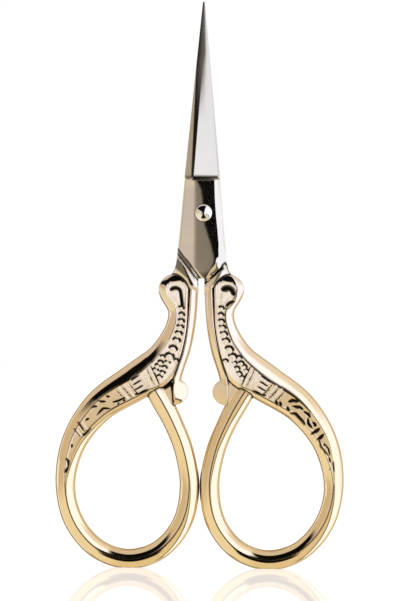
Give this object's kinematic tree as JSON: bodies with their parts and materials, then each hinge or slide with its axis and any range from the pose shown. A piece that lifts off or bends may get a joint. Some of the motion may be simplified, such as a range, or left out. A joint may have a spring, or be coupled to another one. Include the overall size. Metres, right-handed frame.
{
  "type": "embroidery scissors",
  "caption": "Embroidery scissors with slim pointed blades, ornamented gold-toned shanks and oval finger bows; the crossed halves turn on a domed pivot rivet.",
  "frame": {"origin": "middle of the box, at the level of the bottom of the finger bows", "axes": "+Z from the bows to the tips, +Y from the front half's face to the back, +X to the right seen from the front"},
  "size_m": [0.058, 0.0048, 0.1132],
  "materials": {
    "gold_plated_steel": "polished plating, gold on the bows and shanks, fading to nickel on the boss and blades",
    "nickel_plated_steel": "polished nickel"
  },
  "bodies": {
    "back": {"back_half": "gold_plated_steel", "pivot_rivet": "nickel_plated_steel"},
    "front": {"front_half": "gold_plated_steel"}
  },
  "joints": [
    {"name": "pivot", "type": "hinge", "parent": "back", "child": "front", "pos_m": [0.0003, 0, 0.071], "axis": [0, -1, 0], "range_deg": [0, 60]}
  ]
}
